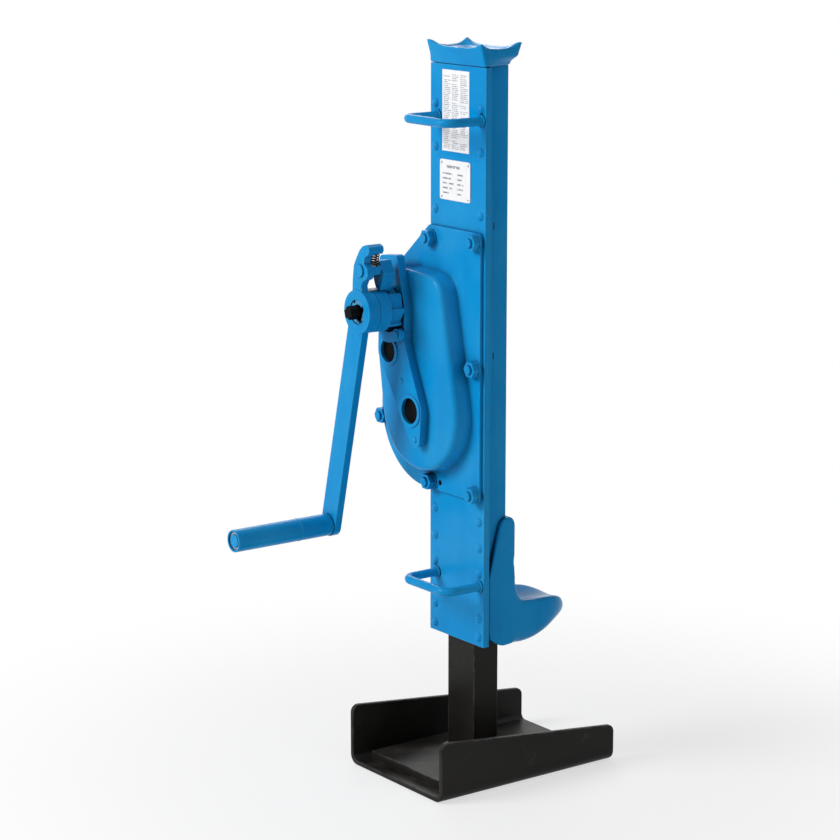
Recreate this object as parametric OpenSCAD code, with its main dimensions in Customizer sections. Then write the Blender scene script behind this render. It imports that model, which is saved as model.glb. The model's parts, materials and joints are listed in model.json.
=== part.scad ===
// Rack and pinion track jack in a blue steel housing on a black channel foot.
// Origin: middle of the rack column at the floor. The crank side faces -Y, the lifting claw faces +Y.

/* [Foot] */
// Width of the foot channel across X
foot_w = 178; // [150:1:220]
// Length of the foot channel along Y
foot_len = 253; // [220:1:320]
// Distance from the rack column to the front end of the foot
foot_front = 112; // [95:1:130]
// Sheet thickness of the foot channel
foot_t = 5.5; // [4:0.5:8]
// Outer bend radius of the foot channel
foot_bend = 12; // [9:0.5:16]
// Height of the flanges at the front end
foot_h_front = 72.5; // [60:0.5:90]
// Height of the flanges at the back end
foot_h_back = 44.7; // [36:0.1:56]
// Corner radius of the flange ends
flange_corner = 9; // [4:0.5:14]
// Thickness of the doubler plate under the rack
doubler_t = 11; // [6:0.5:14]
// Gap between the doubler plate and the flanges
doubler_inset = 14; // [8:0.5:24]
// Length of the doubler plate
doubler_len = 128; // [100:1:150]

/* [Rack] */
// Width of the rack bar across X
rack_w = 50; // [44:0.5:54]
// Depth of the rack bar along Y
rack_d = 34.4; // [28:0.1:36]
// Height of the rack's top end over the floor
rack_top = 690; // [672:1:694]
// Height over the floor where the rack teeth start
teeth_start = 150; // [60:1:240]
// Leg length of the weld round the rack's foot
weld_leg = 7; // [4:0.5:9]

/* [Housing] */
// Height of the housing's lower end over the floor at rest
house_z = 158; // [150:0.5:170]
// Length of the housing from its lower end to the head
house_len = 658; // [640:1:700]
// Width of the front plate
plate_w = 101; // [98:0.5:112]
// Thickness of the front plate
plate_t = 4; // [3:0.25:4.5]
// Distance from the rack's middle to the front of the front plate
plate_front = 23.9; // [23.5:0.1:26]
// Outer width of the rack channel
channel_w = 63; // [61:0.5:68]
// Wall thickness of the rack channel
channel_t = 3.8; // [3:0.1:4]
// Distance from the rack's middle to the back of the rack channel
channel_back = 21.8; // [21.5:0.1:25]
// Thickness of the guide strips that run on the rack
guide_t = 2.2; // [1.5:0.1:2.3]
// Length of each guide strip
guide_len = 62; // [40:1:90]
// Diameter of a plate rivet's shank
rivet_d = 6; // [4:0.5:7]
// Diameter of a plate rivet's head
rivet_head_d = 11; // [9:0.5:13]
// Distance of the rivet rows from the plate's middle
rivet_x = 41.5; // [39:0.25:43]

/* [Gear train] */
// Module of the rack and its pinion
rack_module = 8; // [7.5:0.25:8.5]
// Teeth of the rack pinion
rack_pinion_teeth = 5; // [5:1:6]
// Height of the rack pinion's axis over the housing's lower end
pinion_rise = 265.5; // [258:0.5:274]
// Module of the second gear pair
module_2 = 4; // [3.75:0.125:4.125]
// Teeth of the pinion on the intermediate shaft
pinion_2_teeth = 8; // [8:1:9]
// Teeth of the main gear
main_gear_teeth = 30; // [28:1:31]
// Direction from the rack pinion's axis to the intermediate shaft
dir_2 = 123.2; // [121:0.1:128]
// Module of the first gear pair
module_1 = 2.5; // [2.25:0.125:2.625]
// Teeth of the pinion on the crank shaft
pinion_1_teeth = 8; // [8:1:9]
// Teeth of the intermediate gear
intermediate_gear_teeth = 34; // [32:1:35]
// Direction from the intermediate shaft to the crank shaft
dir_1 = 78.6; // [74:0.1:84]
// Face width of the main gear
main_gear_w = 11; // [8:0.5:12]
// Face width of the intermediate gear
intermediate_gear_w = 18; // [12:0.5:20]
// Length of the rack pinion's teeth
rack_pinion_w = 30; // [24:0.5:31]
// Play between meshing tooth flanks
backlash = 0.3; // [0.2:0.05:0.5]

/* [Cover and bearings] */
// Thickness of the cover's flange
flange_t = 4; // [3:0.25:5]
// Height of the cover's dome over its flange
dome_h = 21.5; // [20:0.25:23]
// Wall thickness of the dome
dome_t = 3; // [2:0.25:3.5]
// Thickness of the bearing bracket
bracket_t = 10.6; // [8:0.2:13]
// Height of the ring bosses on the bracket
boss_h = 1.5; // [1:0.25:2.5]
// Bore of the bracket for the rack pinion's shaft
bore_3 = 30; // [28:0.5:31]
// Bore of the bracket for the intermediate shaft
bore_2 = 27; // [25:0.5:28]
// Bore of the bracket for the crank shaft
bore_1 = 20; // [19:0.5:21]
// Diameter of the cover's studs
stud_d = 10; // [8:0.5:10]
// Width across flats of the cover nuts
nut_af = 17; // [15:0.5:18]

/* [Crank] */
// Crank radius from shaft to grip
crank_r = 267; // [240:1:280]
// Angle of the hanging crank from straight down
crank_rest = 13.4; // [10:0.1:17]
// Width of the crank arm
arm_w = 28; // [24:0.5:30]
// Thickness of the crank arm
arm_t = 9; // [7:0.25:10]
// Diameter of the hub, the jaw ring and the ratchet wheel
hub_d = 50; // [48:0.5:52]
// Length of the crank hub up to its jaws
hub_len = 10.4; // [10.2:0.2:13]
// Length of the jaw ring behind the hub
jaw_len = 21.2; // [18:0.2:24]
// Length of the ratchet wheel
ratchet_len = 17; // [16:0.1:18]
// Teeth of the ratchet wheel
ratchet_teeth = 8; // [8:1:8]
// Depth of the ratchet teeth
ratchet_depth = 4; // [3.5:0.1:4.2]
// Diameter of the grip sleeve
grip_d = 26; // [23:0.5:30]
// Length of the grip sleeve
grip_len = 131; // [110:1:150]
// Diameter of the grip's axle
axle_d = 16; // [12:0.5:17]
// Wire diameter of the pawl's spring
spring_wire = 1.5; // [1.2:0.1:1.6]
// Outer diameter of the pawl's spring
spring_d = 11; // [9.5:0.25:12]
// Turns of the pawl's spring
spring_turns = 5; // [4:1:6]

/* [Head, claw and handles] */
// How far the head's prong tips stand inside the front plate's sides
head_in = 0.5; // [-3:0.25:2]
// Depth of the head across its prongs
head_d = 57; // [54:0.5:62]
// Height of the head's prong tips over the housing's top end
head_h = 26; // [20:0.5:32]
// Height of the prongs over the rim between them
prong_h = 7; // [4:0.25:10]
// Width of the claw
claw_w = 77; // [74:0.5:86]
// Distance from the rack's middle to the tip of the claw
claw_reach = 128; // [112:1:140]
// Height of the claw's top over the housing's lower end
claw_top = 144; // [130:0.5:152]
// Diameter of the carrying handles' rod
handle_d = 10; // [8:0.5:12]
// Width of the carrying handles between rod centres
handle_w = 80; // [66:0.5:82]
// Distance from the front plate to the handles' bar
handle_out = 47; // [40:0.5:60]
// Bend radius of the carrying handles
handle_bend = 13; // [8:0.5:16]

/* [Hidden] */

$fn = 48;
// Small overlap that keeps cut faces apart
eps = 0.02;
// Clearance between pieces that stand still beside each other
fit = 0.05;
// Clearance of parts that run past each other
run = 0.3;
// Radial clearance of a running bore
bore_play = 0.05;
pressure_angle = 20;
blue = "#1f86d1";
black = "#2b2b2b";

// Slit between the ratchet wheel and the jaw ring
ring_gap = 0.4;

// Levels along Y, from the front plate outwards to the crank
plate_y = -plate_front;
plate_back_y = plate_y + plate_t;
flange_back_y = plate_back_y + channel_t;
cover_y = plate_y - flange_t;
dome_y = cover_y - dome_h;
bracket_y = dome_y - bracket_t;
boss_y = bracket_y - boss_h;
ratchet_y = boss_y - 1;
jaw_y = ratchet_y - ratchet_len - ring_gap;
hub_y = jaw_y - jaw_len;
crank_y = hub_y - hub_len;
arm_y = crank_y + 1;
arm_back_y = arm_y + arm_t;

// Places across X and Z
house_top = house_z + house_len;
rack_addendum = 0.8 * rack_module;
rack_shift = 0.3 * rack_module;
rack_pitch = PI * rack_module;
pinion_r = rack_module * rack_pinion_teeth / 2;
s3 = [-rack_w / 2 + rack_addendum - rack_shift - pinion_r, house_z + pinion_rise];
centre_2 = module_2 * (pinion_2_teeth + main_gear_teeth) / 2;
s2 = s3 + centre_2 * [cos(dir_2), sin(dir_2)];
centre_1 = module_1 * (pinion_1_teeth + intermediate_gear_teeth) / 2;
s1 = s2 + centre_1 * [cos(dir_1), sin(dir_1)];
hub_r = hub_d / 2;
cover_low = s3[1] - 95.5;
cover_high = s3[1] + 210.5;
// Height at a share of the plate's bare stretch below the cover, and above it
function low_at(k) = house_z + k * (cover_low - house_z);
function high_at(k) = cover_high + k * (house_top - cover_high);

// Numbers a piece turns round an axis are measured from the front, counterclockwise
function dir(a) = [cos(a), sin(a)];
function arc(c, r, a0, a1, n) = [for (i = [0:n]) c + r * dir(a0 + (a1 - a0) * i / n)];

// Outline round a set of discs [x, y, radius], drawn in by d, with one point for each of n directions
function support(discs, u) = [for (c = discs) c[0] * u[0] + c[1] * u[1] + c[2]];
function top_disc(discs, u) = let (s = support(discs, u)) discs[search(max(s), s)[0]];
function wrap(discs, d = 0, n = 72) = [
  for (i = [0:n - 1]) let (u = dir(360 * i / n), c = top_disc(discs, u)) [c[0], c[1]] + (c[2] - d) * u
];

function middle(ring) = [for (p = ring) 1] * ring / len(ring);

// Solid through rings of points with the same count, each end closed by a fan round its middle
module loft(rings) {
  n = len(rings[0]);
  m = len(rings);
  polyhedron(
    points = concat([for (r = rings) for (p = r) p], [middle(rings[0]), middle(rings[m - 1])]),
    faces = concat(
      [for (j = [0:m - 2]) for (i = [0:n - 1]) let (k = (i + 1) % n)
        each [[j * n + i, (j + 1) * n + i, j * n + k], [j * n + k, (j + 1) * n + i, (j + 1) * n + k]]],
      [for (i = [0:n - 1]) [m * n, i, (i + 1) % n]],
      [for (i = [0:n - 1]) [m * n + 1, (m - 1) * n + (i + 1) % n, (m - 1) * n + i]]
    ),
    convexity = 6
  );
}

// Plate with the outline of its 2D child in X and Z, between two levels along Y
module plate(y0, y1) {
  translate([0, y1, 0]) rotate([90, 0, 0]) linear_extrude(y1 - y0, convexity = 8) children();
}

module disc(c, r, y0, y1) {
  translate([c[0], y1, c[1]]) rotate([90, 0, 0]) cylinder(r = r, h = y1 - y0);
}

module box(x0, x1, y0, y1, z0, z1) {
  translate([x0, y0, z0]) cube([x1 - x0, y1 - y0, z1 - z0]);
}

module foot_channel() {
  half = foot_w / 2;
  inner = foot_bend - foot_t;
  back = foot_len - foot_front;
  wall = concat(
    [[half, foot_h_front]], arc([half - foot_bend, foot_bend], foot_bend, 0, -90, 8),
    arc([foot_bend - half, foot_bend], foot_bend, -90, -180, 8), [[-half, foot_h_front]],
    [[foot_t - half, foot_h_front]], arc([foot_bend - half, foot_bend], inner, 180, 270, 8),
    arc([half - foot_bend, foot_bend], inner, -90, 0, 8), [[half - foot_t, foot_h_front]]
  );
  slope = atan((foot_h_front - foot_h_back) / foot_len);
  front_c = [-foot_front + flange_corner, foot_h_front - 1.2 * flange_corner];
  back_c = [back - flange_corner, foot_h_back - flange_corner];
  side = concat(
    [[-foot_front, 0]], [[back, 0]], arc(back_c, flange_corner, 0, 90 - slope, 8),
    arc(front_c, flange_corner, 90 - slope, 180, 8)
  );
  color(black) intersection() {
    translate([0, back, 0]) rotate([90, 0, 0]) linear_extrude(foot_len) polygon(wall);
    rotate([90, 0, 90]) linear_extrude(foot_w, center = true) polygon(side);
  }
}

module foot_doubler() {
  half = foot_w / 2 - foot_t - doubler_inset;
  back = rack_d / 2 + weld_leg + 9;
  color(black) box(-half, half, back - doubler_len, back, foot_t, foot_t + doubler_t);
}

rack_z0 = foot_t + doubler_t;
tooth_tip_x = -rack_w / 2;
rack_line_x = tooth_tip_x + rack_addendum;
pinion_tip = pinion_r + rack_shift + 0.78 * rack_module;
rack_root_x = s3[0] + pinion_tip + 0.8;

function rack_half(x) = rack_pitch / 4 + (x - rack_line_x) * tan(pressure_angle);

// One tooth of the rack's left edge, centred on height z
function rack_tooth(z) = [
  [rack_root_x, z + rack_half(rack_root_x)], [tooth_tip_x, z + rack_half(tooth_tip_x)],
  [tooth_tip_x, z - rack_half(tooth_tip_x)], [rack_root_x, z - rack_half(rack_root_x)]
];

rack_chamfer = 3;

module rack() {
  up = floor((rack_top - s3[1]) / rack_pitch - 1);
  down = floor((s3[1] - teeth_start) / rack_pitch - 0.5);
  teeth = [for (k = [up:-1:-down]) each rack_tooth(s3[1] + (k + 0.5) * rack_pitch)];
  low = s3[1] + (0.5 - down) * rack_pitch - rack_half(rack_root_x);
  shape = concat(
    [[rack_w / 2, rack_z0], [rack_w / 2, rack_top - rack_chamfer]],
    [[rack_w / 2 - rack_chamfer, rack_top], [rack_root_x, rack_top]],
    teeth, [[tooth_tip_x, low - 6], [tooth_tip_x, rack_z0]]
  );
  color(black) plate(-rack_d / 2, rack_d / 2) polygon(shape);
}

module weld_bead() {
  color(black) difference() {
    hull() {
      translate([0, 0, rack_z0 + 0.5])
        cube([rack_w + 2 * weld_leg, rack_d + 2 * weld_leg, 1], center = true);
      translate([0, 0, rack_z0 + weld_leg])
        cube([rack_w + 2, rack_d + 2, 1], center = true);
    }
    translate([-rack_w / 2, -rack_d / 2, 0]) cube([rack_w, rack_d, rack_top]);
  }
}

// Rivets of both rows, as shares of the bare stretches below and above the cover
rivets_low = [[-1, 0.056], [-1, 0.191], [-1, 0.494], [-1, 0.674], [-1, 0.862],
  [1, 0.062], [1, 0.194], [1, 0.506], [1, 0.679], [1, 0.859]];
rivets_high = [[-1, 0.104], [-1, 0.489], [-1, 0.758], [1, 0.104], [1, 0.489], [1, 0.747]];
rivets = concat(
  [for (k = rivets_low) [k[0] * rivet_x, low_at(k[1])]],
  [for (k = rivets_high) [k[0] * rivet_x, high_at(k[1])]]
);

shaft_3_hole = bore_3 / 2 + 1;

module front_plate() {
  color(blue) difference() {
    box(-plate_w / 2, plate_w / 2, plate_y, plate_back_y, house_z, house_top);
    for (c = rivets) disc(c, rivet_d / 2 + fit, plate_y - 1, plate_back_y + 1);
    for (c = plate_studs) disc(c, stud_d / 2 + fit, plate_y - 1, plate_back_y + 1);
    disc(s3, shaft_3_hole, plate_y - 1, plate_back_y + 1);
  }
}

rear_bush_d = 30;
window_r = pinion_tip + 2.5;
side_slots = [330, 477];

module rack_channel() {
  out = plate_w / 2;
  web = channel_w / 2;
  inner = web - channel_t;
  back_in = channel_back - channel_t;
  section = [
    [-out, plate_back_y], [-inner, plate_back_y], [-inner, back_in], [inner, back_in],
    [inner, plate_back_y], [out, plate_back_y], [out, flange_back_y], [web, flange_back_y],
    [web, channel_back], [-web, channel_back], [-web, flange_back_y], [-out, flange_back_y]
  ];
  color(blue) difference() {
    translate([0, 0, house_z]) linear_extrude(house_len) polygon(section);
    for (c = rivets) disc(c, rivet_d / 2 + fit, plate_back_y - 1, flange_back_y + 1);
    for (c = plate_studs) disc(c, stud_d / 2 + fit, plate_back_y - 1, flange_back_y + 1);
    box(-web - 1, -inner + 1, flange_back_y - 8, back_in, s3[1] - window_r, s3[1] + window_r);
    disc(s3, rear_bush_d / 2 + fit, back_in - 1, channel_back + 1);
    disc(s3, shaft_3_hole, plate_back_y - 1, flange_back_y + 1);
    for (z = side_slots) box(web - 1, web + 1, 1, 3.5, house_z + z, house_z + z + 7);
  }
}

module guide(z) {
  out_x = channel_w / 2 - channel_t - fit;
  out_y = plate_back_y + fit;
  in_x = out_x - guide_t;
  in_y = out_y + guide_t;
  back = rack_d / 2 - 2;
  color("#b08a3c") translate([0, 0, z]) linear_extrude(guide_len) polygon([
    [-out_x, out_y], [out_x, out_y], [out_x, back], [in_x, back],
    [in_x, in_y], [-in_x, in_y], [-in_x, back], [-out_x, back]
  ]);
}

module lower_guide() {
  guide(house_z + 12);
}

module upper_guide() {
  guide(s3[1] + window_r + 40);
}

module thrust_plate() {
  out_x = channel_w / 2 - channel_t - fit;
  color("#b08a3c")
    box(out_x - guide_t, out_x, -rack_d / 2 + 2, rack_d / 2 - 2, s3[1] - window_r, s3[1] + window_r);
}

// Discs that the cover's flange is wrapped round
cover_right = plate_w / 2 - 4;
corner = 3;
flange_low_r = 86;
flange_high_r = 22;
flange_discs = [
  [s3[0] - 13, cover_low + flange_low_r, flange_low_r],
  [s3[0] - 57, s3[1] + 138.5, flange_high_r],
  [s3[0] - 6, cover_high - corner, corner],
  [cover_right - corner, cover_high - corner, corner],
  [cover_right - corner, cover_low + corner, corner]
];
// Discs that the dome is wrapped round, at the flange
dome_discs = [
  [s3[0], s3[1], 74],
  [s3[0] + 19, s3[1] + 132, 28],
  [s3[0] - 21, s3[1] + 116.5, 45.5],
  [s3[0] - 57, s3[1] + 140, 20],
  [s2[0], s2[1], 42]
];
// Tip radii of the gears and pinions
gear_addendum_2 = 0.7;
gear_addendum_1 = 0.72;
gear_thick = 0.42;
gear_tip_2 = module_2 * (main_gear_teeth / 2 + gear_addendum_2);
gear_tip_1 = module_1 * (intermediate_gear_teeth / 2 + gear_addendum_1);
pinion_tip_2 = module_2 * (pinion_2_teeth / 2 + 1.03);
pinion_tip_1 = module_1 * (pinion_1_teeth / 2 + 1.06);

case_t = 3;
// Discs that the gear case is wrapped round
case_discs = [
  [s3[0], s3[1], pinion_tip + 4 + case_t], [s2[0], s2[1], gear_tip_1 + 1 + case_t], [s1[0], s1[1], 30]
];
// Distances of the studs from the plate's right and left edges
stud_in_right = 11.5;
stud_in_left = 6.5;
stud_right = plate_w / 2 - stud_in_right;
stud_left = stud_in_left - plate_w / 2;
// Distances of the studs from the cover's top and bottom edges
stud_down_right = 10.5;
stud_down_left = 14.5;
stud_up_right = 8;
stud_up_left = 9;
plate_studs = [
  [stud_right, cover_high - stud_down_right],
  [stud_right, s3[1] + 57.5],
  [stud_right, cover_low + stud_up_right],
  [stud_left + 1, cover_low + stud_up_left],
  [stud_left, cover_high - stud_down_left]
];
// The case's own stud stands beside the large gear's shaft
case_stud_out = 92;
case_stud_down = 24;
case_stud = s3 - [case_stud_out, case_stud_down];
cover_holes = concat(plate_studs, [case_stud]);
// Small hole of the cover's flange that stays empty
spare_hole_in = 17;
spare_hole_up = 9.5;
spare_hole = [stud_left + spare_hole_in, cover_low + spare_hole_up];
spare_hole_d = 6.5;

// Width of a half plane that cuts an outline off
half_plane = 2 * plate_w;

module gear_case() {
  seam = -channel_w / 2;
  back_in = channel_back - channel_t;
  color(blue) difference() {
    union() {
      plate(plate_y, plate_back_y) intersection() {
        polygon(wrap(flange_discs, 0.5));
        translate([-plate_w / 2 - half_plane, 0]) square([half_plane, 2 * house_top]);
      }
      plate(plate_y, channel_back) intersection() {
        polygon(wrap(case_discs));
        translate([seam - half_plane, 0]) square([half_plane, 2 * house_top]);
      }
    }
    plate(plate_y - 1, back_in) polygon(wrap(case_discs, case_t));
    box(-plate_w / 2 - fit, seam + 1, plate_y - 1, flange_back_y, house_z, house_top);
    for (c = [s1, s2, s3]) disc(c, rear_bush_d / 2 + fit, back_in - 1, channel_back + 1);
    for (c = cover_holes) disc(c, stud_d / 2 + fit, plate_y - 1, plate_back_y + 1);
  }
}

// Ring of the dome, drawn in by d, at a level along Y
function dome_ring(d, y) = [for (p = wrap(dome_discs, d)) [p[0], y, p[1]]];

dome_round = 6;
dome_draft = 3;
// Rings of the dome's outside, from its flange to its rounded edge and its flat top
function dome_shell(inset, y_base, y_top) = concat(
  [dome_ring(inset, y_base)],
  [for (i = [0:5]) let (a = 90 * i / 5)
    dome_ring(inset + dome_draft + dome_round * (1 - cos(a)), y_top + dome_round * (1 - sin(a)))]
);

module gear_cover() {
  color(blue) difference() {
    union() {
      plate(cover_y, plate_y) polygon(wrap(flange_discs));
      loft(dome_shell(0, plate_y - flange_t / 2, dome_y));
    }
    loft(dome_shell(dome_t, plate_y + 1, dome_y + dome_t));
    disc(s1, bore_1 / 2 + 2, dome_y - 1, dome_y + dome_t + 1);
    disc(s2, bore_2 / 2 + 1, dome_y - 1, dome_y + dome_t + 1);
    disc(s3, bore_3 / 2 + 1, dome_y - 1, dome_y + dome_t + 1);
    for (c = cover_holes) disc(c, stud_d / 2 + fit, cover_y - 1, plate_y + 1);
    disc(spare_hole, spare_hole_d / 2, cover_y - 1, plate_y + 1);
  }
}

// Places on the bearing bracket: its waist beside the shafts, its lower tail and its two pins
waist = [s2[0] + 23, s2[1] + 12];
tail = [s3[0] + 9, s3[1] - 32.5];
bump = [s3[0] - 17.6, s3[1] + 32.5];
bracket_pin_d = 6;

module bearing_bracket() {
  upper = [
    [s1[0] - 21.5, s1[1] + 52, 6], [s1[0] + 1, s1[1] + 54.5, 6], [s1[0], s1[1], 20],
    [s1[0] + 14, s1[1] - 3, 6], [waist[0], waist[1], 7], [s2[0], s2[1], 20.5]
  ];
  lower = [
    [s2[0], s2[1], 20.5], [waist[0], waist[1], 7], [s3[0], s3[1], 20.5], [tail[0], tail[1], 8.5]
  ];
  color(blue) difference() {
    union() {
      plate(bracket_y, dome_y) polygon(wrap(upper));
      plate(bracket_y, dome_y) polygon(wrap(lower));
      disc(s3, bore_3 / 2 + 4, boss_y, bracket_y + 1);
      disc(s2, bore_2 / 2 + 4, boss_y, bracket_y + 1);
      disc(s1, bore_1 / 2 + 5, boss_y, bracket_y + 1);
    }
    disc(s3, bore_3 / 2, boss_y - 1, dome_y + 1);
    disc(s2, bore_2 / 2, boss_y - 1, dome_y + 1);
    disc(s1, bore_1 / 2, boss_y - 1, dome_y + 1);
    for (c = [tail, bump]) disc(c, bracket_pin_d / 2 + fit, bracket_y - 1, dome_y + 1);
    disc(stop_pivot, stop_pin_d / 2 + fit, bracket_y - 1, dome_y + 1);
  }
}

// Domed button of a rivet or pin, pointing to -Y from level y
module button(c, r, h, y) {
  ball = (r * r + h * h) / (2 * h);
  intersection() {
    translate([c[0], y + ball - h, c[1]]) sphere(r = ball);
    disc(c, r, y - h - 1, y);
  }
}

module bracket_pins() {
  color(blue) for (c = [tail, bump]) {
    disc(c, bracket_pin_d / 2, bracket_y - 0.6, dome_y);
    button(c, bracket_pin_d / 2, 1.2, bracket_y - 0.6 + eps);
  }
}

shaft_end_d = 22;

module rear_bushes() {
  color("#b08a3c") for (c = [s1, s2, s3]) difference() {
    union() {
      disc(c, rear_bush_d / 2, channel_back - channel_t, channel_back + 1);
      disc(c, rear_bush_d / 2 + 3, channel_back, channel_back + 3.5);
    }
    disc(c, shaft_end_d / 2 + bore_play, channel_back - 10, channel_back + 10);
  }
}

washer_t = 1.8;
nut_t = 8;

module cover_studs() {
  color("#8a8f94") for (c = cover_holes)
    disc(c, stud_d / 2, cover_y - washer_t - nut_t - 3, c == case_stud ? plate_y + 4 : flange_back_y);
}

module cover_washers() {
  color(blue) for (c = cover_holes) difference() {
    disc(c, nut_af / 2 + 1.5, cover_y - washer_t, cover_y);
    disc(c, stud_d / 2 + fit, cover_y - 5, cover_y + 1);
  }
}

module cover_nuts() {
  top = cover_y - washer_t;
  color(blue) for (c = cover_holes) difference() {
    translate([c[0], top, c[1]]) rotate([90, 0, 0]) cylinder(r = nut_af / sqrt(3), h = nut_t, $fn = 6);
    disc(c, stud_d / 2 + fit, top - nut_t - 1, top + 1);
  }
}

rivet_head_h = 3.2;

module plate_rivets() {
  color(blue) for (c = rivets) {
    disc(c, rivet_d / 2, plate_y - eps, flange_back_y + 1);
    button(c, rivet_head_d / 2, rivet_head_h, plate_y);
    disc(c, rivet_head_d / 2 - 1, flange_back_y, flange_back_y + 2);
  }
}

// The head: a skirt on the housing, a rim that flares out to four prongs, and a flat floor inside
head_mid_y = -2;
head_steps = 8;
head_floor = 3;
prong_flare = 2.5;
// Points round the edge of the square from -1 to 1, counterclockwise from above, closer at its corners
function head_at(i) = cos(180 * i / head_steps);
head_edge = concat(
  [for (i = [0:head_steps - 1]) [-head_at(i), -1]], [for (i = [0:head_steps - 1]) [1, -head_at(i)]],
  [for (i = [0:head_steps - 1]) [head_at(i), 1]], [for (i = [0:head_steps - 1]) [-1, head_at(i)]]
);
// Ring whose half width goes from front to back
function head_ring(front, back, y0, y1, z) = [for (e = head_edge)
  [e[0] * (front + (back - front) * (e[1] + 1) / 2), (y0 + y1) / 2 + e[1] * (y1 - y0) / 2, z]
];
head_w = plate_w - 2 * head_in;
// Rim with its prongs at the corners, drawn in by d
function prong(e) = pow(abs(e[0] * e[1]), 4);
function head_rim(d, drop) = [for (e = head_edge) let (c = prong(e), out = prong_flare * (c - 1) - d) [
  e[0] * (head_w / 2 + out),
  head_mid_y + e[1] * (head_d / 2 + out),
  house_top + head_h - prong_h * (1 - c) - drop
]];

module head() {
  back = channel_back + 0.7;
  half = plate_w / 2;
  neck = channel_w / 2 + 1;
  floor_z = house_top + head_h - prong_h - head_floor;
  color(blue) loft([
    head_ring(half, neck, plate_y, back, house_top),
    head_ring(half, neck + 1, plate_y - 0.6, back + 0.3, house_top + 4),
    head_ring(half - 1.2, neck + 12.5, plate_y - 1.6, back + 1.5, house_top + 10),
    head_rim(0, 0), head_rim(5, 0.5),
    head_ring(half - 14, half - 14, plate_y + 7, back - 9, floor_z)
  ]);
}

// Side outline of the claw's upright, in Y and height over the housing's lower end
cheek_t = 3.6;
claw_back = channel_back + 9;

module claw_upright() {
  side = [
    [9.6, claw_top - 8.5], [13, claw_top - 3], [19, claw_top], [claw_back - 5, claw_top],
    [claw_back - 1, claw_top - 4], [claw_back, claw_top - 10], [claw_back - 0.5, 86], [claw_back + 2, 66],
    [claw_back + 7, 51], [claw_back + 12, 43], [claw_back + 12, 20], [claw_back, -9], [16, -8.5],
    [7, -4.5], [0, 0.4], [-5, 6], [-6.6, 13], [-6.6, 76]
  ];
  half = claw_w / 2;
  round_r = 7;
  section = concat(
    [[-half, -10], [half, -10]], arc([half - round_r, claw_back + 17 - round_r], round_r, 0, 90, 6),
    arc([round_r - half, claw_back + 17 - round_r], round_r, 90, 180, 6)
  );
  intersection() {
    translate([0, 0, house_z]) rotate([90, 0, 90]) linear_extrude(claw_w, center = true) polygon(side);
    translate([0, 0, house_z - 20]) linear_extrude(claw_top + 30) polygon(section);
  }
}

toe_root = channel_back + 6;
// Share of the way from the toe's root to its tip
function toe_width(t) = claw_w / 2 * max(0.03, pow(max(0, 1 - pow(max(0, 2 * t - 1), 1.7)), 0.59)) - 0.4;
function toe_rim(t) = house_z + 43.5 - 3 * t - 21 * pow(t, 10);
function toe_keel(t) = house_z - 9.5 - 5 * sin(180 * min(1, 1.4 * t)) + 27.5 * pow(t, 2.4);
function toe_ring(t) = let (y = toe_root + t * (claw_reach - toe_root), w = toe_width(t),
  rim = toe_rim(t), deep = max(2, rim - toe_keel(t)), dish = 9 * (1 - pow(t, 3)) * min(1, w / 20),
  square = 0.25 + 0.5 * t) concat(
  [for (a = [180:15:360]) let (c = cos(a), s = sin(a))
    [w * sign(c) * pow(abs(c), square), y, rim - deep * pow(abs(s), square)]],
  [for (k = [1:7]) let (u = 1 - k / 4) [w * u, y, rim - dish * (1 - u * u)]]
);

module claw() {
  color(blue) difference() {
    union() {
      claw_upright();
      loft([for (i = [12:-1:0]) toe_ring(i == 12 ? 1 : sin(90 * i / 12.3))]);
    }
    web = channel_w / 2 + fit;
    box(-web, web, -40, channel_back + fit, house_z - 40, house_z + claw_top + 20);
  }
}

// Bent rod handle with its ends on the front plate, at height z
module handle(z) {
  r = handle_d / 2;
  half = handle_w / 2;
  leg = handle_out - handle_bend;
  color(blue) translate([handle_x, plate_y, z]) {
    for (s = [-1, 1]) {
      translate([s * half, 0, 0]) rotate([90, 0, 0]) cylinder(r = r, h = leg);
      translate([s * half, 0, 0]) rotate([90, 0, 0]) cylinder(r1 = r + 1.5, r2 = r, h = 3);
      translate([s * (half - handle_bend), -leg, 0]) rotate([0, 0, s > 0 ? -90 : 180])
        rotate_extrude(angle = 90) translate([handle_bend, 0]) circle(r = r);
    }
    translate([handle_bend - half, -handle_out, 0]) rotate([0, 90, 0])
      cylinder(r = r, h = handle_w - 2 * handle_bend);
  }
}

handle_x = 2.6;

module upper_handle() {
  handle(high_at(0.679));
}

module lower_handle() {
  handle(low_at(0.418));
}

function rounded(x0, x1, z0, z1, r) = wrap([
  [x0 + r, z0 + r, r], [x1 - r, z0 + r, r], [x0 + r, z1 - r, r], [x1 - r, z1 - r, r]
]);
rating_x = [-32, 23.5];
rating_z = [high_at(0.17), high_at(0.418)];
label_x = [-28.5, 20.5];
label_t = 0.4;
rating_t = 1;
rating_pin_d = 2.4;
rating_pin_in = 3.5;
rating_corners = [
  for (x = [rating_x[0] + rating_pin_in, rating_x[1] - rating_pin_in])
    for (z = [rating_z[0] + rating_pin_in, rating_z[1] - rating_pin_in]) [x, z]
];

module instruction_label() {
  color("white") box(label_x[0], label_x[1], plate_y - label_t, plate_y, high_at(0.47), high_at(0.967));
}

module rating_plate() {
  color("white") difference() {
    plate(plate_y - rating_t, plate_y)
      polygon(rounded(rating_x[0], rating_x[1], rating_z[0], rating_z[1], 3));
    for (c = rating_corners) disc(c, rating_pin_d / 2 + fit, plate_y - 3, plate_y + 1);
  }
}

module rating_plate_pins() {
  color("silver") for (c = rating_corners) {
    disc(c, rating_pin_d / 2, plate_y - rating_t, plate_y);
    button(c, rating_pin_d / 2 + 0.5, 0.8, plate_y - rating_t);
  }
}

// Involute of an angle, in degrees
function inv(a) = tan(a) * 180 / PI - a;
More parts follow.
